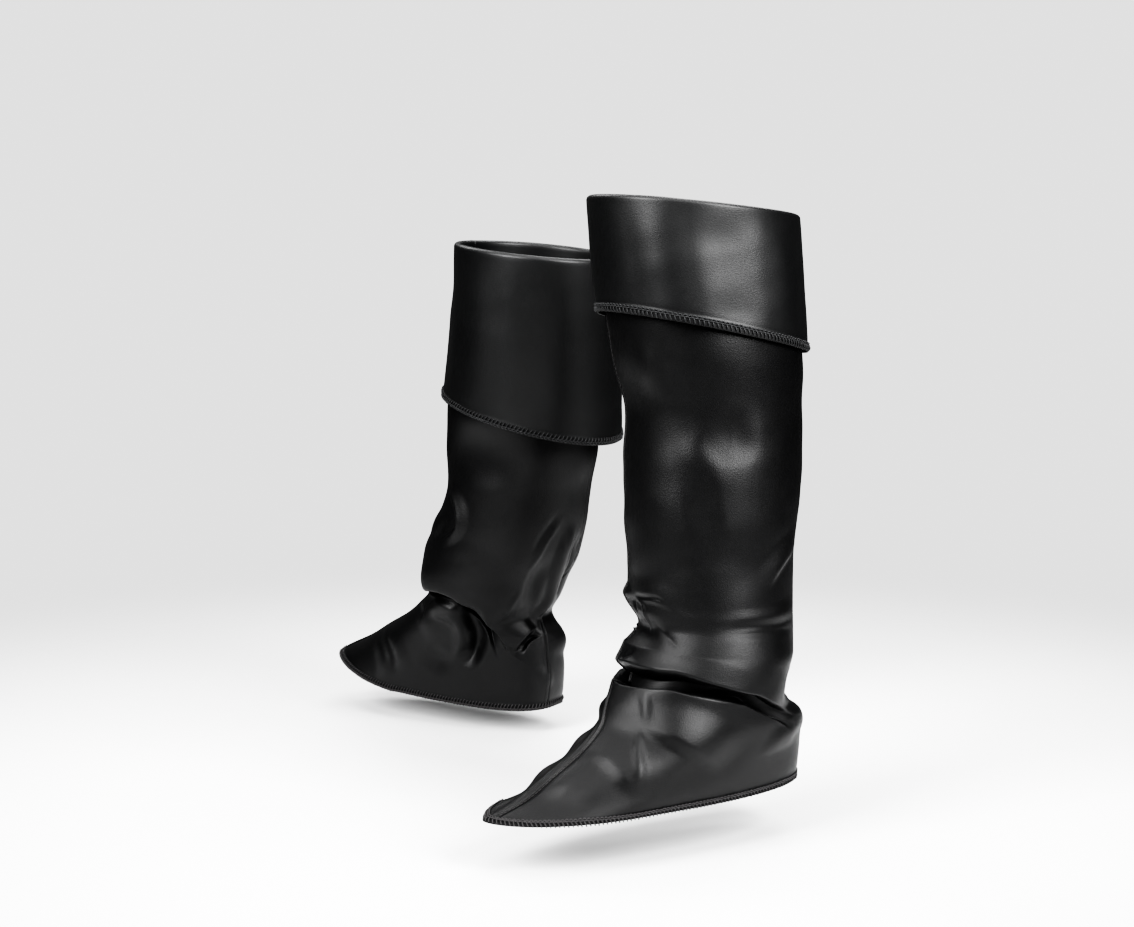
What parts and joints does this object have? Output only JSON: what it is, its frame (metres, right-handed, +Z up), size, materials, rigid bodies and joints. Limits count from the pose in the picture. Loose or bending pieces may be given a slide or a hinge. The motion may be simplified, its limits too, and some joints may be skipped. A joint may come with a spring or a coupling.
{
  "type": "boot covers",
  "caption": "Pair of loose calf-high boot covers, each a two-panel tube of black coated cloth with a turned-down cuff and a hem shaped to lie over a shoe.",
  "frame": {"origin": "centre of the left cover's leg opening, 24 mm below the turned top edge, where the left calf holds it", "axes": "+Z up, -Y the way the wearer walks, +X to the wearer's left; the ground is at Z -0.400"},
  "size_m": [0.5025, 0.3513, 0.4045],
  "materials": {
    "shaft_cloth": "smooth satin, black coated stretch cloth",
    "cuff_cloth": "matt satin with a fine grain, black coated stretch cloth"
  },
  "bodies": {
    "root": {"left_outer_panel": "shaft_cloth", "left_inner_panel": "shaft_cloth", "right_outer_panel": "shaft_cloth", "right_inner_panel": "shaft_cloth", "left_outer_cuff": "cuff_cloth", "left_inner_cuff": "cuff_cloth", "right_outer_cuff": "cuff_cloth", "right_inner_cuff": "cuff_cloth"}
  },
  "joints": []
}
